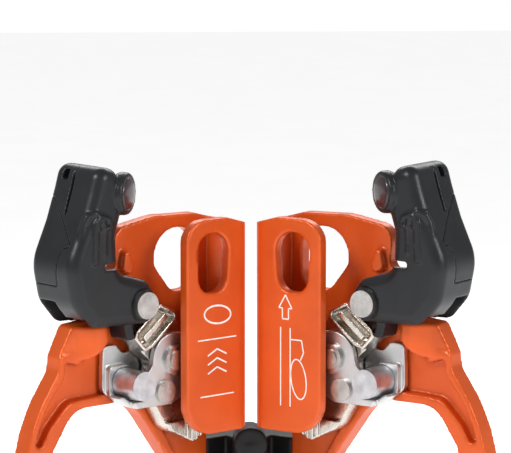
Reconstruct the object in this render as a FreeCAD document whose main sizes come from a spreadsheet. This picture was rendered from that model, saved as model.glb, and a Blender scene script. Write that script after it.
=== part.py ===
"""Twin-handle rope ascender: two mirrored single ascenders bolted to a centre bridge.

The two frames stand in a V that is open towards the user (-Y).  Each side is drawn flat in
its own plane: x runs outwards along the plate from the point of the V, y is up from the cam
axle, z leaves the front face of the plate towards the user.  The right side is drawn and
placed, the left side is its mirror image.  The origin of the part is the centre of the eye
in the bridge.
"""
import FreeCAD, Part
import math
import os

os.makedirs("parts", exist_ok=True)
doc = FreeCAD.newDocument("twin_ascender")
Vec = FreeCAD.Vector

SIZES = [
    ("splay", 38, "angle of each plate from the straight line across, degrees"),
    ("eye_drop", 128, "cam axle down to the eye of the bridge"),
    ("plate_thick", 5, "frame plate"),
    ("wall_inset", 14.3, "point of the V to the closed wall of the rope channel"),
    ("wall_thick", 3.5, "closed wall of the rope channel"),
    ("lip_gap", 0.55, "axle head to lip inside the rope channel"),
    ("lip_thick", 4, "front lip"),
    ("lip_width", 27.6, "front lip, along the plate"),
    ("lip_rise", 46, "top of the lip above the cam axle"),
    ("lip_drop", 25.3, "bottom of the lip below the cam axle"),
    ("crown", 45.3, "top of the plate above the cam axle"),
    ("frame_drop", 142, "bottom of the frame below the cam axle"),
    ("reach", 94, "outermost point of the handle"),
    ("leg_inset", 18, "point of the V to the inner edge of the leg"),
    ("leg_width", 17, "leg beside the rope"),
    ("platform_rise", 7, "platform under the lever, above the plate face"),
    ("rim_rise", 2.5, "rims of the handle, above the plate face"),
    ("axle_reach", 41.5, "point of the V to the cam axle"),
    ("axle_radius", 3, "cam axle"),
    ("pivot_reach", 56.5, "point of the V to the lever pivot"),
    ("pivot_rise", 19.9, "lever pivot above the cam axle"),
    ("pivot_radius", 3, "lever pivot pin"),
    ("play", 0.05, "radial clearance of a turning hole"),
    ("gap", 0.35, "side clearance between moving pieces"),
    ("cam_back", 3, "plate face to the back of the cam"),
    ("cam_wide", 6.4, "cam width at its hub"),
    ("cam_pad", 2.5, "extra width of the cam at its toe and horn"),
    ("bracket_thick", 2.2, "walls of the cam bracket"),
    ("post_reach", 56.9, "point of the V to the bracket post"),
    ("post_drop", 6.7, "bracket post below the cam axle"),
    ("post_radius", 4.8, "bracket post"),
    ("post_front", 15, "front end of the bracket post"),
    ("stud_reach", 46.3, "point of the V to the bracket stud"),
    ("stud_drop", 10, "bracket stud below the cam axle"),
    ("stud_radius", 3.7, "bracket stud"),
    ("lever_front", 15, "front face of the lever"),
    ("lever_back", 8, "back face of the lever, behind the plate face"),
    ("throat_front", 12.3, "front wall of the slot in the lever"),
    ("lever_top", 66, "top of the lever above the cam axle"),
    ("grip_top", 35, "upper end of the grip below the cam axle"),
    ("grip_wall", 3.5, "rubber around the handle"),
    ("foot_radius", 5.5, "foot loop hole"),
    ("tie_radius", 4, "second foot hole"),
    ("eye_radius", 8, "bore of the eye bush"),
    ("bush_wall", 2, "wall of the eye bush"),
    ("screw_radius", 2.5, "bridge screws"),
]

sheet = doc.addObject("Spreadsheet::Sheet", "sizes")
for row, (alias, value, note) in enumerate(SIZES, 1):
    sheet.set("A%d" % row, note)
    sheet.set("B%d" % row, str(value))
    sheet.setAlias("B%d" % row, alias)
doc.recompute()


def size(alias):
    return float(sheet.get(alias))


SPLAY = math.radians(size("splay"))
SIDE = FreeCAD.Placement(Vec(0, 0, size("eye_drop")), FreeCAD.Rotation(-size("splay"), 0, 90))
LIP_OUT = size("wall_inset") + size("lip_width")
BOTTOM = -size("frame_drop")
REACH = size("reach")
LEG_IN = size("leg_inset")
LEG_OUT = LEG_IN + size("leg_width")
AXLE = (size("axle_reach"), 0.0)
PIVOT = (size("pivot_reach"), size("pivot_rise"))
POST = (size("post_reach"), -size("post_drop"))
STUD = (size("stud_reach"), -size("stud_drop"))
CAM_FRONT = size("cam_back") + size("cam_wide")
BRACKET_FRONT = CAM_FRONT + size("gap")
AXLE_HEAD = 2.0
LIP_BACK = BRACKET_FRONT + size("bracket_thick") + AXLE_HEAD + size("lip_gap")
LIP_FRONT = LIP_BACK + size("lip_thick")
PLATE_BACK = -size("plate_thick")
THROAT_BACK = PLATE_BACK - size("gap")
right_side = []


# ---- drawing helpers -----------------------------------------------------------------

def rounded_outline(corners):
    """Lines and tangent arcs round a closed outline of (x, y, corner radius) points."""
    points = [Vec(x, y, 0) for x, y, _ in corners]
    starts, ends, middles = [], [], []
    for i, (_, _, radius) in enumerate(corners):
        here, before, after = points[i], points[i - 1], points[(i + 1) % len(points)]
        to_before = (before - here).normalize()
        to_after = (after - here).normalize()
        half = to_before.getAngle(to_after) / 2
        reach = radius / math.tan(half)
        bisector = (to_before + to_after).normalize()
        starts.append(here + to_before * reach)
        ends.append(here + to_after * reach)
        middles.append(here + bisector * (radius / math.sin(half) - radius))
    edges = []
    for i, (_, _, radius) in enumerate(corners):
        if radius > 0:
            edges.append(Part.Arc(starts[i], middles[i], ends[i]))
        following = (i + 1) % len(corners)
        if ends[i].distanceToPoint(starts[following]) > 1e-6:
            edges.append(Part.LineSegment(ends[i], starts[following]))
    return edges


def circle(centre, radius):
    return [Part.Circle(Vec(centre[0], centre[1], 0), Vec(0, 0, 1), radius)]


def new_body(name):
    body = doc.addObject("PartDesign::Body", name)
    body.Label = name
    body.Placement = SIDE
    return body


def origin_plane(body, role):
    return next(item for item in body.Origin.OriginFeatures if item.Role == role)


def sketch_on(body, name, geometry, height, role="XY_Plane"):
    sketch = body.newObject("Sketcher::SketchObject", name)
    sketch.AttachmentSupport = [(origin_plane(body, role), "")]
    sketch.MapMode = "FlatFace"
    sketch.AttachmentOffset = FreeCAD.Placement(Vec(0, 0, height), FreeCAD.Rotation())
    sketch.addGeometry(geometry, False)
    doc.recompute()
    return sketch


def feature(body, kind, name, geometry, height, length, reverse=False, role="XY_Plane"):
    """Pad or Pocket of an outline; length is a number or an expression on the sheet."""
    sketch = sketch_on(body, name + "_outline", geometry, height, role)
    item = body.newObject("PartDesign::" + kind, name)
    item.Profile = sketch
    if isinstance(length, str):
        item.setExpression("Length", length)
    else:
        item.Length = length
    item.Reversed = reverse
    doc.recompute()
    return item


def pad(body, name, geometry, height, length, **options):
    return feature(body, "Pad", name, geometry, height, length, **options)


def pocket(body, name, geometry, height, length, **options):
    """A pocket cuts backwards from its height, and has to take something away."""
    before = body.Shape.Volume
    item = feature(body, "Pocket", name, geometry, height, length, **options)
    if body.Shape.Volume >= before - 1e-6:
        raise RuntimeError("pocket %s cuts nothing" % name)
    return item


def round_loop(body, name, height, radius_alias_or_value):
    """Fillet every edge of the last feature that lies flat at one height."""
    base = body.Tip
    names = []
    for number, edge in enumerate(base.Shape.Edges, 1):
        box = edge.BoundBox
        if abs(box.ZMin - height) < 1e-4 and abs(box.ZMax - height) < 1e-4:
            names.append("Edge%d" % number)
    fillet = body.newObject("PartDesign::Fillet", name)
    fillet.Base = (base, names)
    fillet.Radius = radius_alias_or_value
    doc.recompute()
    return fillet


def turned(name, centre, rings):
    """A turned pin: rings of (radius, back, front) along the plate's normal."""
    body = new_body(name)
    for number, (radius, back, front) in enumerate(rings):
        pad(body, "%s_ring%d" % (name, number), circle(centre, radius), back, front - back)
    right_side.append(body)
    return body


def bored(body, name, centre, radius, front=30.0, depth=60.0):
    return pocket(body, name, circle(centre, radius), front, depth)


# ---- frame ---------------------------------------------------------------------------

OPENING = [
    (LEG_OUT + 1, -118.5, 8), (LEG_OUT + 1, -36, 9), (52, -13.8, 15),
    (REACH - 18, -13.8, 10), (REACH - 9, -27, 6), (REACH - 10, -38, 12),
    (REACH - 20, -66, 30), (REACH - 29, -100, 20), (REACH - 35, -118.5, 8),
]
GRIP_INNER = OPENING[5:]


def outer_edge():
    """The handle's outer edge, from the platform down to the grip."""
    return [(REACH - 17.5, 13.5, 2), (REACH - 12.5, 4, 0), (REACH - 12, -1, 5),
            (REACH - 5, -11, 20), (REACH - 1.2, -19, 14), (REACH + 2, -30, 20)]


def frame_outline():
    inset = size("wall_inset")
    return [
        (inset, -size("lip_drop"), 0), (inset, size("crown"), 0),
        (40, size("crown") + 0.8, 20), (58, size("crown") - 2.2, 6), (56.5, 30, 3),
        (66, 27, 4), (66, 14.5, 1)] + outer_edge() + [
        (REACH + 0.8, -66, 40), (REACH - 7, -98, 40),
        (REACH - 21, -125, 25), (REACH - 33, BOTTOM, 10), (LEG_IN, BOTTOM, 4),
        (LEG_IN, -size("lip_drop"), 0),
    ]


def wedge_profile():
    """The platform seen along the rope: high beside the cam, sloping to the outer edge."""
    rise = size("platform_rise")
    return [(64.8, -1, 0), (64.8, rise, 1.5), (69.5, rise, 3), (REACH - 18.5, 2.4, 4),
            (REACH - 12.4, 1.8, 0), (REACH - 12.4, -1, 0)]


def build_frame():
    body = new_body("right_frame")
    pad(body, "plate", rounded_outline(frame_outline()), PLATE_BACK, "sizes.plate_thick")
    inset, wall = size("wall_inset"), size("wall_thick")
    drop, rise = size("lip_drop"), size("lip_rise")
    corner = 5.0
    wall_profile = rounded_outline([
        (inset, PLATE_BACK, 2), (inset, LIP_FRONT, corner), (inset + 9, LIP_FRONT, 0),
        (inset + 9, LIP_BACK, 0), (inset + wall, LIP_BACK, 1.5), (inset + wall, PLATE_BACK, 0)])
    pad(body, "wall", wall_profile, -rise, rise + drop, role="XZ_Plane")
    lip = [(inset + 7, -drop, 0), (inset + 7, rise, 0), (LIP_OUT, rise, 8), (LIP_OUT, -drop, 11)]
    pad(body, "lip", rounded_outline(lip), LIP_BACK, "sizes.lip_thick")
    top = 13.3
    pad(body, "platform", rounded_outline(wedge_profile()), -top, top + 3, role="XZ_Plane")
    ledge = [(60, -6, 0), (60, 12.8, 0), (67.3, 5.4, 3), (73.5, 1.6, 4), (REACH - 15.5, 3.8, 3),
             (REACH - 8, 3.8, 0), (REACH - 8, -6, 0)]
    pocket(body, "ledge", rounded_outline(ledge), size("platform_rise") + 1,
           size("platform_rise") + 1)
    slant = [(REACH - 17.3, 14.5, 0), (REACH - 6, 14.5, 0), (REACH - 6, 3, 0),
             (REACH - 12.2, 3, 0), (REACH - 12.5, 4, 0), (REACH - 17.5, 13.5, 0)]
    pocket(body, "outer_slant", rounded_outline(slant), size("platform_rise") + 1, 30)
    under_grip = REACH + 2 - 1.2 * 16 / 36
    rims = [(66, 5.5, 1)] + outer_edge()[1:] + [
        (under_grip, -46, 0), (REACH - 14, -46, 0), (REACH - 14, -26, 0), (50, -26, 0),
        (LEG_OUT + 5, -38, 0), (LEG_OUT - 2, -38, 0), (LEG_OUT - 2, -35, 2),
        (48.5, -10, 14), (66, -10, 2)]
    pad(body, "rims", rounded_outline(rims), 0, "sizes.rim_rise")
    pocket(body, "opening", rounded_outline(OPENING), 30, 60)
    hollow = [(62.4, 3.9, 0), (67.6, 3.7, 1), (73.5, 0.3, 2), (REACH - 14.7, 2.2, 1),
              (REACH - 14.2, -2.9, 3), (REACH - 7.3, -11.6, 6), (REACH - 3.8, -18.8, 6),
              (REACH - 2.2, -24.3, 0.8), (REACH - 5, -24.3, 0.8), (REACH - 8.2, -18.8, 5),
              (REACH - 15.8, -11.2, 6), (62.4, -10.4, 0)]
    pocket(body, "hollow", rounded_outline(hollow), size("rim_rise"), size("rim_rise") + 0.8)
    pocket(body, "bracket_bed", bracket_back_outline(), size("platform_rise") + 1,
           size("platform_rise") + 1)
    slope = [(12, 42.6, 0), (25, 46.2, 0), (25, 50, 0), (12, 50, 0)]
    pocket(body, "crown_slope", rounded_outline(slope), 30, 60)
    boss = [(49.5, 27.5, 2), (56, 29, 2), (54.5, 39, 1.2)]
    pad(body, "boss", rounded_outline(boss), 0, 3.0)
    egg = [(22, 41.3, 8), (40.4, 41.3, 9.5), (40.4, 29.5, 4), (33, 20.3, 4.5), (22, 20.3, 6)]
    pocket(body, "plate_window", rounded_outline(egg), 1, size("plate_thick") + 2)
    window = [(25, 21.6, 5.2), (23.5, 41.5, 6.6), (38, 41.5, 6.6), (36.4, 21.6, 5.2)]
    pocket(body, "lip_window", rounded_outline(window), LIP_FRONT + 1, size("lip_thick") + 2)
    lower_handle_cut(body)
    bored(body, "axle_hole", AXLE, size("axle_radius") + 0.02, 1, size("plate_thick") + 2)
    bored(body, "pivot_hole", PIVOT, size("pivot_radius") + size("play"), 1,
          size("plate_thick") + 2)
    bored(body, "post_hole", POST, SPIGOT, 1, size("plate_thick") + 2)
    for name, centre, radius in foot_holes():
        bored(body, name, centre, radius, 1, size("plate_thick") + 2)
    for number, height in enumerate(SCREW_HEIGHTS):
        bored(body, "screw_hole%d" % number, (SCREW_REACH, height),
              size("screw_radius") + 0.02, 1, size("plate_thick") + 2)
    right_side.append(body)
    return body


def lower_handle_cut(body):
    """Take the rubber's thickness off the handle's inner edge, along the grip."""
    thick = size("grip_wall")
    back = [(x + thick, y, 0) for x, y, _ in reversed(GRIP_INNER)]
    cut = [(x - 1, y, 0) for x, y, _ in GRIP_INNER] + back
    pocket(body, "handle_waist", rounded_outline(cut), 1, size("plate_thick") + 2)


SPIGOT = 2.5
SCREW_REACH = LEG_IN + 9
SCREW_HEIGHTS = [-45.0, -85.0, -112.0]


def foot_holes():
    return [("foot_hole", (LEG_OUT + 5, BOTTOM + 11), size("foot_radius")),
            ("tie_hole", (LEG_OUT + 19, BOTTOM + 11.5), size("tie_radius"))]


# ---- grip ----------------------------------------------------------------------------

def build_grip(frame):
    """Rubber sleeve moulded round the handle: a rounded bar with the frame taken out."""
    bar = new_body("right_grip_bar")
    top, wall = -size("grip_top"), size("grip_wall")
    outline = [
        (REACH - 10.5, top, 2), (REACH + 3.8, top, 3), (REACH + 3.4, -66, 40),
        (REACH - 4.6, -98, 40), (REACH - 18, -121, 4), (REACH - 35, -117, 4),
        (REACH - 29, -100, 20), (REACH - 20, -66, 30),
    ]
    pad(bar, "bar", rounded_outline(outline), PLATE_BACK - wall, size("plate_thick") + 2 * wall)
    round_loop(bar, "bar_front", wall, 3.0)
    round_loop(bar, "bar_back", PLATE_BACK - wall, 3.0)
    grip = doc.addObject("Part::Cut", "right_grip")
    grip.Base = bar
    grip.Tool = frame
    grip.Label = "right_grip"
    right_side.append(grip)
    return grip


# ---- cam, bracket and their pins -----------------------------------------------------

def build_cam():
    body = new_body("right_cam")
    back = size("cam_back")
    u, z = AXLE
    outline = [
        (u - 0.5, 16, 2.5), (u + 6, 19, 1.5), (u + 9, 16.2, 1), (u + 16, 11, 1), (u + 17, 8.6, 1),
        (u + 12.3, 3.4, 2), (u + 7, -1, 3), (u + 8, -13, 3), (u + 1, -24, 8), (u - 8, -28.5, 1.2),
        (u - 11.5, -26.5, 1), (u - 12.3, -17, 8), (u - 12, -6, 12), (u - 8, 4, 5),
    ]
    pad(body, "cam_blank", rounded_outline(outline), back, "sizes.cam_wide")
    toe = [(u - 8, -28.5, 1.2), (u - 11.5, -26.5, 1), (u - 12.3, -18.5, 3), (u - 4, -20.4, 2),
           (u + 3, -21, 0.5), (u + 1, -24, 1)]
    pad(body, "cam_toe", rounded_outline(toe), CAM_FRONT, "sizes.cam_pad")
    rim = [(u - 0.8, 13.2, 1), (u - 0.9, 15.6, 1.8), (u + 6, 19, 1.5), (u + 9, 16.2, 1),
           (u + 16, 11, 1), (u + 17, 8.6, 1), (u + 12.7, 3.9, 1.5), (u + 9.3, 5, 1.5)]
    pad(body, "horn_rim", rounded_outline(rim), CAM_FRONT, "sizes.cam_pad")
    front = CAM_FRONT + size("cam_pad")
    hollow = [(u + 0.4, 13.7, 1), (u + 0.4, 15.1, 1), (u + 6, 17.8, 1), (u + 15.3, 10.8, 0.8),
              (u + 15.6, 9, 0.8), (u + 12.3, 5.2, 1), (u + 9.8, 6.2, 1)]
    pocket(body, "horn_hollow", rounded_outline(hollow), front, 4.5)
    ridge = [(u + 2.2, 14.4, 0.3), (u + 3.8, 15.7, 0.3), (u + 13, 8.6, 0.3), (u + 11.6, 6.9, 0.3)]
    pad(body, "horn_ridge", rounded_outline(ridge), front - 4.6, 4.0)
    for number in range(4):
        x = u - 10.6 + 1.9 * number
        flute = [(x, -30, 0), (x, -19, 0), (x + 0.8, -19, 0), (x + 0.8, -30, 0)]
        pocket(body, "flute%d" % number, rounded_outline(flute), front, 0.9)
    for number in range(9):
        y = -8.0 - 2.1 * number
        groove = [(u - 14, y, 0), (u - 11.2, y + 0.75, 0), (u - 14, y + 1.5, 0)]
        pocket(body, "tooth%d" % number, rounded_outline(groove), CAM_FRONT + 5, 12)
    pocket(body, "cam_bore", circle(AXLE, size("axle_radius") + size("play")), 30, 60)
    pocket(body, "spring_seat", circle(AXLE, 6.6), back, 3.2, reverse=True)
    right_side.append(body)
    return body


def bracket_back_outline():
    """The back wall of the bracket, and the flat bed that the frame has for it."""
    u, z = AXLE
    px, pz = POST
    sx, sz = STUD
    return rounded_outline([
        (u - 8, -8, 6), (u - 8, 8, 7), (u + 7, 8, 7), (u + 13, 1, 3), (px + 1.5, 5.5, 1.5),
        (px + 7, 5.5, 1.5), (px + 7.5, pz - 3, 5), (px + 1, pz - 7.9, 4), (sx - 4, sz - 5, 4)])


def build_bracket():
    """Bent steel bracket: back wall on the plate, front wall over the cam, floor between."""
    body = new_body("right_cam_bracket")
    u, z = AXLE
    thick = size("bracket_thick")
    px, pz = POST
    sx, sz = STUD
    pad(body, "back_wall", bracket_back_outline(), 0, "sizes.bracket_thick")
    front_wall = [(u - 9, -9, 8), (u - 9, 9, 8.5), (u + 9, 9, 8.5), (u + 9.3, -1, 4),
                  (px - 3.2, pz + 3, 1.5), (px - 3.2, pz - 5.4, 1), (px + 2, pz - 5.6, 0.5),
                  (px + 1, pz - 7.9, 1),
                  (sx - 3.5, sz - 4.6, 4)]
    pad(body, "front_wall", rounded_outline(front_wall), BRACKET_FRONT, "sizes.bracket_thick")
    floor = [(px - 2.4, pz - 5.8, 0), (px + 1, pz - 5.9, 0), (px + 5, pz - 3.6, 0),
             (px + 6.2, pz - 4.2, 0), (px + 4.2, pz - 5.6, 1), (px + 1, pz - 7.9, 3),
             (px - 2.4, pz - 7.9, 0)]
    pad(body, "floor", rounded_outline(floor), thick - 0.1, BRACKET_FRONT - thick + 0.2)
    block = [(px - 2.2, pz - 6.3, 1), (px - 2.2, pz + 5.6, 1.5), (px + 6, pz + 5.6, 1.5),
             (px + 6, pz - 3.2, 1), (px + 2.6, pz - 6.3, 1)]
    pad(body, "post_block", rounded_outline(block), thick, 2.0)
    pocket(body, "axle_seat", circle(AXLE, size("axle_radius") + 0.02), 30, 60)
    pocket(body, "post_seat", circle(POST, size("post_radius") + 0.02), 30, 30 - thick)
    pocket(body, "post_spigot_seat", circle(POST, SPIGOT + 0.02), 30, 60)
    pocket(body, "stud_seat", circle(STUD, 2.02), 30, 30 - BRACKET_FRONT + 0.5)
    right_side.append(body)
    return body


def build_pins():
    plate = size("plate_thick")
    front = BRACKET_FRONT + size("bracket_thick")
    radius = size("axle_radius")
    turned("right_cam_axle", AXLE, [(radius, -plate, front + 0.3), (5.0, front, front + 1.4),
                                    (3.4, front + 1.4, front + AXLE_HEAD), (5.0, -plate - 1.6, -plate)])
    turned("right_bracket_post", POST, [(SPIGOT, -plate - 1.2, size("bracket_thick")),
                                        (size("post_radius"), size("bracket_thick"),
                                         size("post_front")),
                                        (4.2, -plate - 1.6, -plate)])
    turned("right_bracket_stud", STUD, [(2.0, BRACKET_FRONT, front),
                                        (size("stud_radius"), front, front + 1.3)])
    pin = size("pivot_radius")
    head = size("lever_front") - 1.2
    turned("right_lever_pin", PIVOT, [(pin, -size("lever_back") - 0.2, head + 0.1),
                                      (4.4, head, head + 2.6),
                                      (4.6, -size("lever_back") - 1.8, -size("lever_back") - 0.2)])


def coil(name, centre, radius, wire, back, turns):
    """Close-wound torsion spring: turns of round wire that touch, about the plate's normal."""
    pitch = 0.9 * wire
    first = back + wire / 2
    rings = [Part.makeTorus(radius, wire / 2, Vec(0, 0, pitch * turn)) for turn in range(turns)]
    item = doc.addObject("Part::Feature", name)
    item.Label = name
    item.Shape = rings[0].multiFuse(rings[1:])
    item.Placement = SIDE.multiply(FreeCAD.Placement(Vec(centre[0], centre[1], first),
                                                     FreeCAD.Rotation()))
    right_side.append(item)
    return item


# ---- lever ---------------------------------------------------------------------------

def lever_outline():
    top = size("lever_top")
    u, z = PIVOT
    return [
        (u - 7.5, z, 5.5), (u - 3.5, z - 6.6, 5), (u + 9, z - 6.4, 30), (u + 20.5, z - 6, 5),
        (84, 22, 9), (86.5, 35, 14), (80.5, 48, 20), (77, 58, 20), (74.5, top + 0.5, 4.5),
        (66, top - 1.5, 4.5), (64.5, 51, 5), (66.8, 44, 8), (66.3, 31.5, 4.2), (u - 2.5, z + 8, 6),
    ]


def build_lever():
    body = new_body("right_lever_blank")
    front, back = size("lever_front"), -size("lever_back")
    u, z = PIVOT
    pad(body, "shell", rounded_outline(lever_outline()), back, "sizes.lever_front + sizes.lever_back")
    round_loop(body, "front_round", front, 4.0)
    round_loop(body, "back_round", back, 3.5)
    throat = [(40, 3, 0), (79.5, 3, 0), (79.5, 22.5, 0), (80.5, 22.5, 0), (81.5, 36, 8),
              (76, 48, 10), (71, 61, 4), (50, 61, 0)]
    pocket(body, "throat", rounded_outline(throat), size("throat_front"),
           "sizes.throat_front + sizes.plate_thick + sizes.gap")
    notch = [(79, 3, 0), (95, 3, 0), (95, 22.5, 0), (79, 22.5, 0)]
    pocket(body, "platform_notch", rounded_outline(notch), 2.8,
           "2.8 + sizes.plate_thick + sizes.gap")
    hub = size("pivot_radius") + 1.6
    pad(body, "front_hub", circle(PIVOT, hub), size("gap") + 5.4,
        size("throat_front") - 5.4 - size("gap") + 0.1)
    nose = [(u + 2.2, 8.6, 0.6), (u + 2.8, 12, 0.8), (u + 4, 15.5, 0), (u + 7, 15.5, 0),
            (u + 5.3, 8.4, 0.8)]
    pad(body, "nose", rounded_outline(nose), size("cam_back") + 0.4,
        size("throat_front") - size("cam_back") - 0.3)
    counterbore = 5.6
    pocket(body, "pin_recess", circle(PIVOT, counterbore), 30, 30 - front + 1.2)
    pocket(body, "pin_bore", circle(PIVOT, size("pivot_radius") + 0.02), 30, 60)
    slot = [(63, 32.8, 0), (72.8, 32.8, 0.8), (72.8, 34.8, 0.8), (63, 34.8, 0)]
    pocket(body, "front_slot", rounded_outline(slot), 30, 30 - front + 3.5)
    hx, hy = 74.0, 47.0
    rim = [(hx - 3.6, hy + 3.6, 3.4), (hx + 3.6, hy + 3.6, 3.4), (hx + 4.2, 35, 0.6),
           (hx + 2.2, 35, 0.6), (hx + 1.8, hy - 1, 1), (hx - 3.6, hy - 1, 1.2)]
    pad(body, "hook_rim", rounded_outline(rim), front - 0.6, 1.6)
    pocket(body, "hook_hole", circle((hx - 0.6, hy + 0.6), 1.8), 30, 30 - front + 2.2)
    tab_window = [(61, -3.2, 0), (64.2, -3.2, 0), (64.2, -0.4, 0), (61, -0.4, 0)]
    pocket(body, "tab_window", rounded_outline(tab_window), 90, 17.5, role="YZ_Plane")
    crease = [(50, 2.4, 0), (90, 1.6, 0), (90, 2.8, 0), (50, 3.2, 0)]
    pocket(body, "spine_crease", rounded_outline(crease), 90, 15.6, role="YZ_Plane")
    stub = doc.addObject("Part::Cylinder", "thumb_stub")
    pad_tilt = FreeCAD.Rotation(Vec(0, 1, 0), -PAD_TILT)
    stub.Radius = 6.0
    stub.Height = 9.5
    stub.Placement = SIDE.multiply(FreeCAD.Placement(PAD_CENTRE, pad_tilt).multiply(
        FreeCAD.Placement(Vec(0, 0, -10.5), FreeCAD.Rotation())))
    fused = doc.addObject("Part::Fuse", "right_lever_fused")
    fused.Base = body
    fused.Tool = stub
    face = doc.addObject("Part::Cylinder", "thumb_face")
    face.Radius = 7.5
    face.Height = 12
    face.Placement = SIDE.multiply(FreeCAD.Placement(PAD_CENTRE, pad_tilt).multiply(
        FreeCAD.Placement(Vec(0, 0, -1.0), FreeCAD.Rotation())))
    whole = doc.addObject("Part::Cut", "right_lever_whole")
    whole.Base = fused
    whole.Tool = face
    doc.recompute()
    return whole


PAD_TILT = 30.0
PAD_CENTRE = Vec(62.5, 56.5, 12.5)


def build_lever_pieces(whole):
    """Split the lever into its hard shell and the soft skin moulded on the spine."""
    depth = new_body("right_skin_depth")
    outline = [(94, 28, 0), (94, 56, 0), (75.6, 56, 0), (77.4, 50, 0), (80.8, 43, 0),
               (82.2, 37, 0), (81.4, 28, 0)]
    pad(depth, "skin_slab", rounded_outline(outline), -12, 26)
    seam = new_body("right_skin_seam")
    edge = [(28, -12, 0), (55, -12, 0), (55, -4.8, 0), (41, 10.6, 0), (40.2, 7.4, 0),
            (38, 6.4, 0), (28, 5.6, 0)]
    pad(seam, "skin_edge", rounded_outline(edge), 70, 26, role="YZ_Plane")
    skin_region = doc.addObject("Part::Common", "right_skin_region")
    skin_region.Base = depth
    skin_region.Tool = seam
    lever = doc.addObject("Part::Cut", "right_lever")
    lever.Base = whole
    lever.Tool = skin_region
    lever.Label = "right_lever"
    skin = doc.addObject("Part::Common", "right_lever_skin")
    skin.Base = whole
    skin.Tool = skin_region
    skin.Label = "right_lever_skin"
    button = doc.addObject("Part::Cylinder", "right_thumb_pad")
    button.Label = "right_thumb_pad"
    button.Radius = 5.4
    button.Height = 2.6
    button.Placement = SIDE.multiply(FreeCAD.Placement(PAD_CENTRE, FreeCAD.Rotation(
        Vec(0, 1, 0), -PAD_TILT)).multiply(FreeCAD.Placement(Vec(0, 0, -1.0), FreeCAD.Rotation())))
    doc.recompute()
    right_side.extend([lever, skin, button])


# ---- centre bridge -------------------------------------------------------------------

def plan(u, w):
    """A point of the right side's plan, seen from above."""
    return Vec(u * math.cos(SPLAY) - w * math.sin(SPLAY),
               -u * math.sin(SPLAY) - w * math.cos(SPLAY), 0)


def mirrored_prism(points, low, high):
    """A prism, symmetric about X = 0, from the right half of its plan."""
    ring = points + [Vec(-p.x, p.y, 0) for p in reversed(points) if p.x > 1e-6]
    wire = Part.makePolygon(ring + [ring[0]])
    face = Part.Face(wire)
    face.translate(Vec(0, 0, low))
    return face.extrude(Vec(0, 0, high - low))


def side_cylinder(centre, radius, back, front):
    rod = Part.makeCylinder(radius, front - back, Vec(centre[0], centre[1], back))
    rod.Placement = SIDE.multiply(rod.Placement)
    return rod


def both(shape):
    return [shape, shape.mirror(Vec(0, 0, 0), Vec(1, 0, 0))]


def add_shape(name, shape):
    item = doc.addObject("Part::Feature", name)
    item.Label = name
    item.Shape = shape
    return item


def build_bridge():
    axle_height = size("eye_drop")
    top = axle_height - size("lip_drop") - 6
    low = axle_height + BOTTOM
    flange = 4.0
    flange_out = SCREW_REACH + 7
    nose = [Vec(0, -22.5, 0), Vec(3.6, -22.0, 0), Vec(5.6, -19.5, 0), Vec(5.6, -9.5, 0),
            plan(9.5, 0), plan(LEG_IN, 0), plan(LEG_IN, PLATE_BACK), plan(flange_out, PLATE_BACK),
            plan(flange_out, PLATE_BACK - flange), plan(6, PLATE_BACK - flange),
            Vec(6.0, 7.0, 0), Vec(0, 7.0, 0)]
    shape = mirrored_prism(nose, low, top)
    boss_radius = size("eye_radius") + size("bush_wall")
    eye_front, eye_back = -7.5, 7.5
    lobby = Part.makeBox(28, 40, 120, Vec(-14, eye_front - 40, boss_radius + 6 - 120))
    shape = shape.cut(lobby)
    collar = Part.makeCylinder(boss_radius + 3, -eye_front, Vec(0, eye_front, 0), Vec(0, 1, 0))
    eye = Part.makeCylinder(boss_radius, 80, Vec(0, -40, 0), Vec(0, 1, 0))
    dome_radius = 5.6
    dome = Part.makeCylinder(dome_radius, 12, Vec(0, -22, top), Vec(0, 1, 0))
    shape = shape.fuse(collar).fuse(dome).cut(eye)
    for height in SCREW_HEIGHTS:
        hole = side_cylinder((SCREW_REACH, height), size("screw_radius") + 0.02, -30, 10)
        for tool in both(hole):
            shape = shape.cut(tool)
    add_shape("bridge", shape)
    length = eye_back - eye_front
    bush = Part.makeCylinder(boss_radius, length, Vec(0, eye_front, 0), Vec(0, 1, 0))
    bush = bush.cut(Part.makeCylinder(size("eye_radius"), 80, Vec(0, -40, 0), Vec(0, 1, 0)))
    add_shape("eye_bush", bush)
    screws, nuts = [], []
    behind = PLATE_BACK - flange
    radius = size("screw_radius")
    for height in SCREW_HEIGHTS:
        centre = (SCREW_REACH, height)
        screw = side_cylinder(centre, radius, behind - 4.5, 0)
        screw = screw.fuse(side_cylinder(centre, radius * 1.8, 0, 2.4))
        socket = side_cylinder(centre, radius * 0.8, 1.0, 4)
        screws += both(screw.cut(socket))
        nut = side_cylinder(centre, radius * 1.9, behind - 4, behind)
        nuts += both(nut.cut(side_cylinder(centre, radius + 0.01, behind - 6, behind + 2)))
    add_shape("bridge_screws", Part.makeCompound(screws))
    add_shape("bridge_nuts", Part.makeCompound(nuts))


# ---- the whole -----------------------------------------------------------------------

def mirror_side(items):
    left = []
    for item in items:
        name = item.Label.replace("right_", "left_")
        copy = doc.addObject("Part::Mirroring", name)
        copy.Label = name
        copy.Source = item
        copy.Normal = Vec(1, 0, 0)
        left.append(copy)
    return left


def build():
    frame = build_frame()
    build_grip(frame)
    build_cam()
    build_bracket()
    build_pins()
    coil("right_cam_spring", AXLE, 5.2, 1.0, size("bracket_thick") + size("gap"), 3)
    coil("right_lever_spring", PIVOT, 4.0, 0.8, size("gap"), 5)
    build_lever_pieces(build_lever())
    left = mirror_side(right_side)
    build_bridge()
    doc.recompute()
    centre = ("bridge", "eye_bush", "bridge_screws", "bridge_nuts")
    pieces = right_side + left + [doc.getObject(name) for name in centre]
    return pieces


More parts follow.
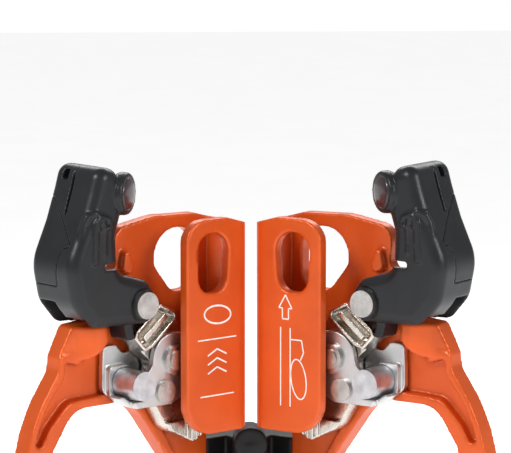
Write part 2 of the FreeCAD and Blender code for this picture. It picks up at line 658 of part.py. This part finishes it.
pieces = build()
for item in doc.Objects:
    if "Invalid" in item.State or "Error" in item.State:
        raise RuntimeError("%s failed: %s" % (item.Name, item.State))
for piece in pieces:
    if piece.Shape.isNull() or not piece.Shape.isValid() or not piece.Shape.Solids:
        raise RuntimeError("%s has no valid solid" % piece.Label)
for piece in pieces:
    piece.Shape.exportStep("parts/%s.step" % piece.Label)
    print(piece.Label, round(piece.Shape.Volume, 1), len(piece.Shape.Solids))
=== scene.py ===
"""Looks of the twin rope ascender: soft-edged forged frames, moulded levers and metal finishes.

Each side is described flat in its plate's plane, as (u, y, w): u outwards from the point of the V,
y up from the cam axle, w out of the plate's front face towards the user, all in metres.
"""
import math

import bmesh
import bpy
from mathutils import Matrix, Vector


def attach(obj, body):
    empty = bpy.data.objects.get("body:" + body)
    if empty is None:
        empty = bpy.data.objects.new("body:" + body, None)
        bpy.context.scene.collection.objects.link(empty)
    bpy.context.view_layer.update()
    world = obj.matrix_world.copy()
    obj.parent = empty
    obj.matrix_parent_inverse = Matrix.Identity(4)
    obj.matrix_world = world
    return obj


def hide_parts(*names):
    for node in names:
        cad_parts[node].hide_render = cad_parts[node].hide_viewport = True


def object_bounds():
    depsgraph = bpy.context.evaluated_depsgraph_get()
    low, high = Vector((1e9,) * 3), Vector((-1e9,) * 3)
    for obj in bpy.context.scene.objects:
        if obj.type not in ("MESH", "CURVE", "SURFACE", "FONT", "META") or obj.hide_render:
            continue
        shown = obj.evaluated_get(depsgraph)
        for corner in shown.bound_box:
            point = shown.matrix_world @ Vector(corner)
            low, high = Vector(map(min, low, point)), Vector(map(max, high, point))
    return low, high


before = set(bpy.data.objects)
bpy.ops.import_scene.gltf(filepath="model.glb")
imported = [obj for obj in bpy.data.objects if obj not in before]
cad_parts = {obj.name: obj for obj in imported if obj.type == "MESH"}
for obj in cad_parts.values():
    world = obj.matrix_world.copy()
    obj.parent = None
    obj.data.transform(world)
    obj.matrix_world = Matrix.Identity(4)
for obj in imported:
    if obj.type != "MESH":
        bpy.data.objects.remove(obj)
CAD_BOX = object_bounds()
MM = 0.001
SPLAY = math.radians(38)
AXLE_HEIGHT = 0.128
SIDES = {"right": 1, "left": -1}

# Front face of the lip that the marks are printed on, and how far ink lies in and stands out.
LIP_FACE = 18.5 * MM
INK_SUNK = 0.05 * MM
INK_PROUD = 0.06 * MM

# Thumb pad: centre as (u, y, w) in mm, and how far its face looks inwards.
PAD_CENTRE = (62.5, 56.5, 12.5)
PAD_TILT = math.radians(30)

# A wave texture of scale 1 repeats every 0.314 m.
WAVE_LENGTH = 0.314
RIB_PITCH = 4.2 * MM

# Pins left as the CAD made them: axis (u, y) in mm, colour, roughness.
PINS = {
    "cam_axle": (41.5, 0.0, (0.62, 0.61, 0.59), 0.26),
    "lever_pin": (56.5, 19.9, (0.62, 0.61, 0.59), 0.3),
    "bracket_stud": (46.3, -10.0, (0.62, 0.6, 0.57), 0.26),
    "bracket_post": (56.9, -6.7, (0.7, 0.71, 0.74), 0.36),
}
PLAIN_METAL = (0.6, 0.59, 0.57)

# Camera and room.
TARGET = Vector((0.0011, -0.030, AXLE_HEIGHT + 0.043))
AZIMUTH, ELEVATION, DISTANCE = math.radians(-3), math.radians(8), 1.1
SENSOR_WIDTH, LENS = 36, 237
FLOOR_REACH = 3.0
FLOOR_GLOW = 0.62
ROOM_LIGHT, ROOM_SEEN = 0.34, 1.0


# ---- places ----------------------------------------------------------------------------

def place(u, y, w, side):
    """World position of a point given in a side's plate plane."""
    x = u * math.cos(SPLAY) - w * math.sin(SPLAY)
    back = -u * math.sin(SPLAY) - w * math.cos(SPLAY)
    return Vector((side * x, back, AXLE_HEIGHT + y))


def plate_turn(side):
    """Euler turn whose local Z is the plate's normal."""
    return (math.radians(90), 0, -side * SPLAY)


# ---- materials -------------------------------------------------------------------------

def new_material(name, colour, roughness, metallic=0.0):
    material = bpy.data.materials.new(name)
    material.use_nodes = True
    shader = material.node_tree.nodes["Principled BSDF"]
    shader.inputs["Base Color"].default_value = (*colour, 1)
    shader.inputs["Roughness"].default_value = roughness
    shader.inputs["Metallic"].default_value = metallic
    return material, shader


def add(material, kind, **values):
    node = material.node_tree.nodes.new(kind)
    for key, value in values.items():
        if key in node.inputs:
            node.inputs[key].default_value = value
        else:
            setattr(node, key, value)
    return node


def link(material, source, target):
    material.node_tree.links.new(source, target)


def noise(material, scale, detail=4.0, stretch=(1, 1, 1), turn=(0, 0, 0)):
    """Noise in object space; stretch draws it out into brushed lines."""
    coords = add(material, "ShaderNodeTexCoord")
    mapping = add(material, "ShaderNodeMapping", Scale=stretch, Rotation=turn)
    texture = add(material, "ShaderNodeTexNoise", Scale=scale, Detail=detail)
    link(material, coords.outputs["Object"], mapping.inputs["Vector"])
    link(material, mapping.outputs["Vector"], texture.inputs["Vector"])
    return texture.outputs["Fac"]


def ramp(material, source, low, high, start=0.3, end=0.7):
    """A colour ramp from low to high colours."""
    node = add(material, "ShaderNodeValToRGB")
    node.color_ramp.elements[0].position = start
    node.color_ramp.elements[0].color = (*low, 1)
    node.color_ramp.elements[1].position = end
    node.color_ramp.elements[1].color = (*high, 1)
    link(material, source, node.inputs["Fac"])
    return node.outputs["Color"]


def spread(material, source, low, high):
    """A plain value from low to high."""
    node = add(material, "ShaderNodeMapRange")
    node.inputs["To Min"].default_value = low
    node.inputs["To Max"].default_value = high
    link(material, source, node.inputs["Value"])
    return node.outputs["Result"]


def bump(material, shader, *layers):
    """Chain of bumps, each (height socket, strength, distance in metres)."""
    normal = None
    for height, strength, distance in layers:
        node = add(material, "ShaderNodeBump", Strength=strength, Distance=distance)
        link(material, height, node.inputs["Height"])
        if normal is not None:
            link(material, normal, node.inputs["Normal"])
        normal = node.outputs["Normal"]
    link(material, normal, shader.inputs["Normal"])


def orange_alloy():
    """Bead-blasted, orange anodised forging, a little paler on sharp convex edges, with painted
    shade darkening its concave hollows.
    """
    material, shader = new_material("orange_alloy", (0.8, 0.1, 0.012), 0.36, 0.25)
    broad = noise(material, 55, 3)
    tint = ramp(material, broad, (0.64, 0.085, 0.008), (0.76, 0.108, 0.011))
    # Pointiness: high on sharp convex edges, low in concave hollows.
    curvature = add(material, "ShaderNodeNewGeometry").outputs["Pointiness"]
    # Paler orange on sharp convex edges.
    edge = ramp(material, curvature, (0, 0, 0), (0.7, 0.7, 0.7), 0.53, 0.62)
    mix = add(material, "ShaderNodeMixRGB", blend_type="MIX")
    link(material, edge, mix.inputs["Fac"])
    link(material, tint, mix.inputs["Color1"])
    mix.inputs["Color2"].default_value = (0.9, 0.2, 0.035, 1)
    # Painted shade: the base colour is multiplied darker in concave hollows, where shade would
    # fall.
    painted_hollow_shade = ramp(material, curvature, (0.62, 0.62, 0.62), (1, 1, 1), 0.44, 0.5)
    shade = add(material, "ShaderNodeMixRGB", blend_type="MULTIPLY")
    shade.inputs["Fac"].default_value = 1.0
    link(material, mix.outputs["Color"], shade.inputs["Color1"])
    link(material, painted_hollow_shade, shade.inputs["Color2"])
    link(material, shade.outputs["Color"], shader.inputs["Base Color"])
    link(material, spread(material, noise(material, 420, 4), 0.3, 0.42),
         shader.inputs["Roughness"])
    bump(material, shader, (noise(material, 3800, 2), 0.16, 0.00005), (broad, 0.1, 0.0004))
    return material


def moulded(name, colour, roughness, grain=2600, depth=0.00006, lift=1.5):
    """Moulded polymer with a fine spark-eroded texture and a slightly uneven colour."""
    material, shader = new_material(name, colour, roughness)
    shader.inputs["Specular IOR Level"].default_value = 0.32
    lighter = tuple(min(1, part * lift) for part in colour)
    link(material, ramp(material, noise(material, 90, 5), colour, lighter),
         shader.inputs["Base Color"])
    link(material, spread(material, noise(material, 260, 4), roughness - 0.07, roughness + 0.07),
         shader.inputs["Roughness"])
    bump(material, shader, (noise(material, grain, 3), 0.35, depth),
         (noise(material, 140, 2), 0.1, 0.0003))
    return material


def ribbed_rubber():
    """Grip rubber with shallow ribs across the hand."""
    material, shader = new_material("black_rubber", (0.01, 0.01, 0.011), 0.58)
    coords = add(material, "ShaderNodeTexCoord")
    ribs = add(material, "ShaderNodeTexWave", wave_type="BANDS", bands_direction="Z",
               Scale=WAVE_LENGTH / RIB_PITCH, Distortion=0.0)
    link(material, coords.outputs["Object"], ribs.inputs["Vector"])
    link(material, ramp(material, noise(material, 90, 5), (0.009, 0.009, 0.01),
                        (0.015, 0.015, 0.016)), shader.inputs["Base Color"])
    link(material, spread(material, noise(material, 260, 4), 0.52, 0.66),
         shader.inputs["Roughness"])
    bump(material, shader, (ribs.outputs["Fac"], 0.5, 0.0006),
         (noise(material, 1800, 3), 0.35, 0.0001))
    return material


def cast_steel():
    """Tumbled stainless casting: bright, gently uneven, with small pits."""
    material, shader = new_material("cast_steel", (0.66, 0.62, 0.56), 0.24, 1.0)
    cloud = noise(material, 160, 5)
    link(material, ramp(material, cloud, (0.5, 0.46, 0.4), (0.74, 0.71, 0.66)),
         shader.inputs["Base Color"])
    link(material, spread(material, cloud, 0.16, 0.36), shader.inputs["Roughness"])
    bump(material, shader, (noise(material, 520, 4), 0.3, 0.0002),
         (noise(material, 2400, 3), 0.2, 0.00004))
    return material


def brushed_steel(name, colour, roughness, turn=(0, 0, 0), stretch=(1, 1, 14)):
    """Rolled steel with fine lines along one direction."""
    material, shader = new_material(name, colour, roughness, 1.0)
    lines = noise(material, 500, 5, stretch, turn)
    darker = tuple(part * 0.82 for part in colour)
    link(material, ramp(material, noise(material, 120, 4), darker, colour),
         shader.inputs["Base Color"])
    link(material, spread(material, lines, roughness - 0.08, roughness + 0.1),
         shader.inputs["Roughness"])
    bump(material, shader, (lines, 0.18, 0.00005))
    return material


def turned_steel(name, colour, roughness, centre, turn, pitch=0.00035):
    """Faced on a lathe: rings about a pin's own axis."""
    material, shader = new_material(name, colour, roughness, 1.0)
    coords = add(material, "ShaderNodeTexCoord")
    mapping = add(material, "ShaderNodeMapping", vector_type="TEXTURE", Rotation=turn)
    mapping.inputs["Location"].default_value = centre
    rings = add(material, "ShaderNodeTexWave", wave_type="RINGS", rings_direction="Z",
                Scale=WAVE_LENGTH / pitch, Distortion=1.2)
    rings.inputs["Detail"].default_value = 2.0
    rings.inputs["Detail Scale"].default_value = 3.0
    link(material, coords.outputs["Object"], mapping.inputs["Vector"])
    link(material, mapping.outputs["Vector"], rings.inputs["Vector"])
    darker = tuple(part * 0.7 for part in colour)
    link(material, ramp(material, noise(material, 300, 4), darker, colour),
         shader.inputs["Base Color"])
    link(material, spread(material, rings.outputs["Fac"], roughness - 0.06, roughness + 0.1),
         shader.inputs["Roughness"])
    bump(material, shader, (rings.outputs["Fac"], 0.3, 0.00005))
    return material


def print_white():
    """Slightly uneven white ink."""
    material, shader = new_material("print_white", (0.9, 0.86, 0.82), 0.5)
    link(material, ramp(material, noise(material, 900, 3), (0.82, 0.76, 0.7), (0.95, 0.93, 0.9)),
         shader.inputs["Base Color"])
    bump(material, shader, (noise(material, 2600, 2), 0.2, 0.00003))
    return material


def gloss_pad():
    """Polished polymer, nearly black."""
    material, shader = new_material("gloss_pad", (0.035, 0.02, 0.023), 0.22)
    link(material, ramp(material, noise(material, 200, 3), (0.03, 0.016, 0.019),
                        (0.045, 0.026, 0.03)), shader.inputs["Base Color"])
    shader.inputs["Coat Weight"].default_value = 0.25
    shader.inputs["Coat Roughness"].default_value = 0.08
    bump(material, shader, (noise(material, 300, 2), 0.06, 0.0002))
    return material


def set_material(obj, material):
    obj.data.materials.clear()
    obj.data.materials.append(material)


# ---- shapes ----------------------------------------------------------------------------

def apply_modifiers(obj):
    """Gives the object the mesh that its modifiers make, and takes them off it."""
    bpy.context.view_layer.update()
    graph = bpy.context.evaluated_depsgraph_get()
    mesh = bpy.data.meshes.new_from_object(obj.evaluated_get(graph))
    obj.modifiers.clear()
    obj.data = mesh


def add_object(name, mesh):
    obj = bpy.data.objects.new(name, mesh)
    bpy.context.scene.collection.objects.link(obj)
    return obj


def ring(build, centre, turn, radius, height, sides):
    """A turned ring of vertices, its radius and height in millimetres."""
    return [build.verts.new(centre + turn @ Vector((
        radius * MM * math.cos(2 * math.pi * step / sides),
        radius * MM * math.sin(2 * math.pi * step / sides), height * MM)))
        for step in range(sides)]


def join(build, low, high):
    """Faces between two rows of vertices that each run round a closed loop."""
    for step in range(len(low)):
        following = (step + 1) % len(low)
        build.faces.new([low[step], low[following], high[following], high[step]])


def built(build, name):
    """The mesh of a bmesh, its faces turned outwards."""
    bmesh.ops.recalc_face_normals(build, faces=build.faces)
    mesh = bpy.data.meshes.new(name)
    build.to_mesh(mesh)
    build.free()
    return mesh


def shade_smooth(mesh):
    for polygon in mesh.polygons:
        polygon.use_smooth = True


def skinned(build, rings, name):
    """Closed mesh through a row of rings."""
    for low, high in zip(rings, rings[1:]):
        join(build, low, high)
    build.faces.new(list(reversed(rings[0])))
    build.faces.new(rings[-1])
    return built(build, name)


def tube(route, side, sides=14):
    """Mesh of a closed tube along (u, y, w, radius) stations in millimetres."""
    build = bmesh.new()
    points = [place(u * MM, y * MM, w * MM, side) for u, y, w, _ in route]
    rings = []
    for number, (*_, radius) in enumerate(route):
        along = points[min(number + 1, len(points) - 1)] - points[max(number - 1, 0)]
        turn = along.to_track_quat("Z", "Y")
        rings.append(ring(build, points[number], turn, radius, 0, sides))
    return skinned(build, rings, "tube")


def lathed(profile, centre, axis, sides=64):
    """Mesh turned about an axis from (radius, height) points, in millimetres."""
    build = bmesh.new()
    turn = axis.to_track_quat("Z", "Y")
    mesh = skinned(build, [ring(build, centre, turn, radius, height, sides)
                           for radius, height in profile], "lathed")
    shade_smooth(mesh)
    return mesh


def softened(node, name, voxel, passes, body, material, additions=()):
    """A copy of a CAD node with every edge rounded, which takes the node's place.

    Additions are meshes that melt into it. Passes are rounds of smoothing.
    """
    build = bmesh.new()
    build.from_mesh(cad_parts[node].data)
    for extra in additions:
        build.from_mesh(extra)
    joined = bpy.data.meshes.new(name)
    build.to_mesh(joined)
    build.free()
    obj = add_object(name, joined)
    remesh = obj.modifiers.new("remesh", "REMESH")
    remesh.mode = "VOXEL"
    remesh.voxel_size = voxel
    remesh.use_smooth_shade = True
    smooth = obj.modifiers.new("smooth", "SMOOTH")
    smooth.factor = 0.5
    smooth.iterations = passes
    apply_modifiers(obj)
    shade_smooth(obj.data)
    set_material(obj, material)
    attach(obj, body)
    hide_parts(node)


def printed(name, outlines, side, body, material):
    """Thin ink on the lip: closed outlines of (u, y) points, just proud of its face."""
    build = bmesh.new()
    for outline in outlines:
        low = [build.verts.new(place(u, y, LIP_FACE - INK_SUNK, side)) for u, y in outline]
        high = [build.verts.new(place(u, y, LIP_FACE + INK_PROUD, side)) for u, y in outline]
        build.faces.new(high)
        build.faces.new(list(reversed(low)))
        join(build, low, high)
    obj = add_object(name, built(build, name))
    set_material(obj, material)
    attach(obj, body)


# ---- the object ------------------------------------------------------------------------

ORANGE = orange_alloy()
LEVER = moulded("lever_plastic", (0.011, 0.012, 0.0135), 0.34)
SKIN = moulded("lever_skin", (0.01, 0.011, 0.0125), 0.4, grain=3400)
RUBBER = ribbed_rubber()
BRIDGE = moulded("black_bridge", (0.006, 0.006, 0.0065), 0.5)
CAST = cast_steel()
SATIN = brushed_steel("satin_steel", (0.68, 0.68, 0.68), 0.36)
SPRING = brushed_steel("spring_steel", (0.3, 0.3, 0.31), 0.3)
DARK = brushed_steel("dark_steel", (0.1, 0.1, 0.105), 0.38)
INK = print_white()
PAD = gloss_pad()


def pad_frame(side):
    """Centre of the thumb pad, and the way its face looks."""
    centre = place(*(part * MM for part in PAD_CENTRE), side)
    outward = place(-math.sin(PAD_TILT), 0, math.cos(PAD_TILT), side) - place(0, 0, 0, side)
    return centre, outward


def lever_details(side):
    """Raised arch on the lever's face, a rib down from its top, and a collar round the pad."""
    arch = [(73.0, 34.5, 13.6, 0.7), (73.0, 38, 14.4, 1.0), (73.1, 46.5, 14.5, 1.3),
            (74.2, 49.8, 14.5, 1.4), (76.4, 51.4, 14.1, 1.4), (78.7, 50.4, 13.3, 1.4),
            (80.0, 47.4, 12.6, 1.3), (81.6, 41, 12.8, 1.1), (82.6, 35, 12.6, 0.7)]
    rib = [(73.4, 64.6, 11.8, 0.5), (74.6, 60, 12.3, 0.8), (75.8, 55, 12.7, 0.9),
           (77.0, 51.5, 13.0, 0.7)]
    centre, outward = pad_frame(side)
    collar = lathed([(4.6, -3.0), (6.4, -3.0), (7.0, -1.8), (6.9, 0.4), (6.3, 1.2), (5.7, 1.2)],
                    centre, outward)
    return [tube(arch, side), tube(rib, side), collar]


def thumb_pad(word, side):
    """Glossy pad with a shallow dome."""
    centre, outward = pad_frame(side)
    profile = [(4.0, -1.0), (5.3, -1.0), (5.4, 0.6), (5.2, 1.2), (4.6, 1.5), (3.4, 1.75),
               (1.8, 1.9), (0.3, 1.95)]
    obj = add_object(word + "_gloss_pad", lathed(profile, centre, outward))
    set_material(obj, PAD)
    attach(obj, word + "_lever_arm")
    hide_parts(word + "_thumb_pad")


def dress_side(word, side):
    """One side's rounded pieces, its pad, and better finishes on its pins and springs."""
    softened(word + "_frame", word + "_forged_frame", 0.5 * MM, 7, "base",
             ORANGE)
    softened(word + "_lever", word + "_moulded_lever", 0.36 * MM, 7, word + "_lever_arm",
             LEVER, additions=lever_details(side))
    softened(word + "_lever_skin", word + "_moulded_skin", 0.3 * MM, 3, word + "_lever_arm",
             SKIN)
    softened(word + "_grip", word + "_rubber_grip", 0.6 * MM, 6, "base", RUBBER)
    softened(word + "_cam", word + "_cast_cam", 0.22 * MM, 4, word + "_cam_body",
             CAST)
    softened(word + "_cam_bracket", word + "_bent_bracket", 0.25 * MM, 5, "base",
             SATIN)
    thumb_pad(word, side)
    for piece, (u, y, colour, roughness) in PINS.items():
        node = "%s_%s" % (word, piece)
        centre = place(u * MM, y * MM, 0, side)
        material = turned_steel(node + "_steel", colour, roughness, centre, plate_turn(side))
        set_material(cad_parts[node], material)
    for piece in ("cam_spring", "lever_spring"):
        set_material(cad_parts["%s_%s" % (word, piece)], SPRING)


def dress_centre():
    """The bridge between the sides, with its screws, nuts and eye."""
    softened("bridge", "moulded_bridge", 0.6 * MM, 6, "base", BRIDGE)
    softened("bridge_screws", "cap_screws", 0.25 * MM, 3, "base", DARK)
    softened("bridge_nuts", "lock_nuts", 0.25 * MM, 3, "base", DARK)
    eye = turned_steel("eye_bush_steel", PLAIN_METAL, 0.28, (0, 0, 0),
                       (math.radians(90), 0, 0))
    set_material(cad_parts["eye_bush"], eye)


def stroke(a, b, width):
    """A straight line of ink from a to b."""
    start, end = Vector(a), Vector(b)
    along = (end - start).normalized()
    across = Vector((-along.y, along.x)) * width / 2
    return [tuple(point * MM) for point in (start - across, end - across, end + across,
                                            start + across)]


def drawn(path, width, closed=False):
    """Strokes from point to point of a path."""
    count = len(path) if closed else len(path) - 1
    return [stroke(path[i], path[(i + 1) % len(path)], width) for i in range(count)]


def loop(centre, half_wide, half_high, lean=0.0, count=28):
    """Points of an ellipse that leans to one side."""
    points = []
    for step in range(count):
        angle = 2 * math.pi * step / count
        high = half_high * math.sin(angle)
        points.append((centre[0] + half_wide * math.cos(angle) + lean * high, centre[1] + high))
    return points


def dress_lips():
    """Generic marks: an arrow for the way up, a small outline drawing, and plain rules."""
    line = 0.42
    tip, low, shoulder = 20.6, 12.6, 16.2
    middle, half, shaft, rope = 28.2, 2.6, 1.2, 1.9
    path = [(middle, tip), (middle + half, shoulder), (middle + shaft, shoulder),
            (middle + shaft, low), (middle - shaft, low), (middle - shaft, shoulder),
            (middle - half, shoulder)]
    marks = drawn(path, line, closed=True)
    for across in (middle - rope, middle + rope):
        marks += drawn([(across, 9.8), (across, -16.4)], line)
    marks += drawn(loop((middle + 5.2, -7.0), 3.0, 6.6, -0.12), line, closed=True)
    marks += drawn([(middle + rope, 6.0), (middle + 6.4, 6.0), (middle + 7.2, 2.0),
                    (middle + 6.0, -0.6)], line)
    printed("outline_marks", marks, 1, "base", INK)
    rules = drawn([(21.0, 6.4), (37.4, 6.4)], line)
    rules += drawn(loop((29.0, 14.4), 5.6, 3.0, 0.25), 0.6, closed=True)
    for height in (1.0, -2.0, -5.0):
        rules += drawn([(25.2, height), (29.2, height + 2.0), (33.2, height)], 0.5)
    rules += drawn([(22.0, -12.4), (36.4, -12.4)], line)
    printed("plain_marks", rules, -1, "base", INK)


for side_word, side_sign in SIDES.items():
    dress_side(side_word, side_sign)
dress_centre()
dress_lips()


# ---- studio ----------------------------------------------------------------------------

def look_at(obj, target):
    obj.rotation_euler = (target - obj.location).to_track_quat("-Z", "Y").to_euler()


def area_light(name, location, target, power, width, height):
    light = bpy.data.lights.new(name, "AREA")
    light.shape = "RECTANGLE"
    light.size, light.size_y, light.energy = width, height, power
    obj = add_object(name, light)
    obj.location = location
    look_at(obj, target)


def soft_room():
    """A world that is white where the camera sees it, and dimmer as a source of light."""
    world = bpy.data.worlds.new("world")
    world.use_nodes = True
    nodes, links = world.node_tree.nodes, world.node_tree.links
    path = nodes.new("ShaderNodeLightPath")
    level = nodes.new("ShaderNodeMapRange")
    level.inputs["To Min"].default_value = ROOM_LIGHT
    level.inputs["To Max"].default_value = ROOM_SEEN
    links.new(path.outputs["Is Camera Ray"], level.inputs["Value"])
    nodes["Background"].inputs["Color"].default_value = (1, 1, 1, 1)
    links.new(level.outputs["Result"], nodes["Background"].inputs["Strength"])
    return world


def pale_floor():
    """A plain floor under the object, which also gives off light."""
    height = CAD_BOX[0][2]
    corners = [(-FLOOR_REACH, -FLOOR_REACH, height), (FLOOR_REACH, -FLOOR_REACH, height),
               (FLOOR_REACH, FLOOR_REACH, height), (-FLOOR_REACH, FLOOR_REACH, height)]
    mesh = bpy.data.meshes.new("floor")
    mesh.from_pydata(corners, [], [(0, 1, 2, 3)])
    ground = add_object("floor", mesh)
    pale, shader = new_material("pale_floor", (0.9, 0.9, 0.9), 0.9)
    link(pale, ramp(pale, noise(pale, 30, 3), (0.85, 0.85, 0.85), (0.9, 0.9, 0.9)),
         shader.inputs["Base Color"])
    shader.inputs["Emission Color"].default_value = (1, 1, 1, 1)
    shader.inputs["Emission Strength"].default_value = FLOOR_GLOW
    bump(pale, shader, (noise(pale, 40, 3), 0.05, 0.001))
    set_material(ground, pale)


def studio():
    """Camera at the photograph's angle, floor, room and three soft lights."""
    away = Vector((math.sin(AZIMUTH) * math.cos(ELEVATION),
                   -math.cos(AZIMUTH) * math.cos(ELEVATION), math.sin(ELEVATION)))
    camera = add_object("camera", bpy.data.cameras.new("camera"))
    camera.data.sensor_width = SENSOR_WIDTH
    camera.data.lens = LENS
    camera.data.clip_start = 0.01
    camera.location = TARGET + away * DISTANCE
    look_at(camera, TARGET)
    bpy.context.scene.camera = camera
    pale_floor()
    bpy.context.scene.world = soft_room()
    bpy.context.scene.view_settings.view_transform = "Standard"
    area_light("key", Vector((-0.75, -0.6, 0.9)), TARGET, 7.5, 0.3, 0.3)
    area_light("fill", Vector((0.8, -0.7, 0.6)), TARGET, 5, 0.35, 0.35)
    area_light("back", Vector((0.1, 0.7, 0.7)), TARGET, 4, 0.8, 0.3)


studio()
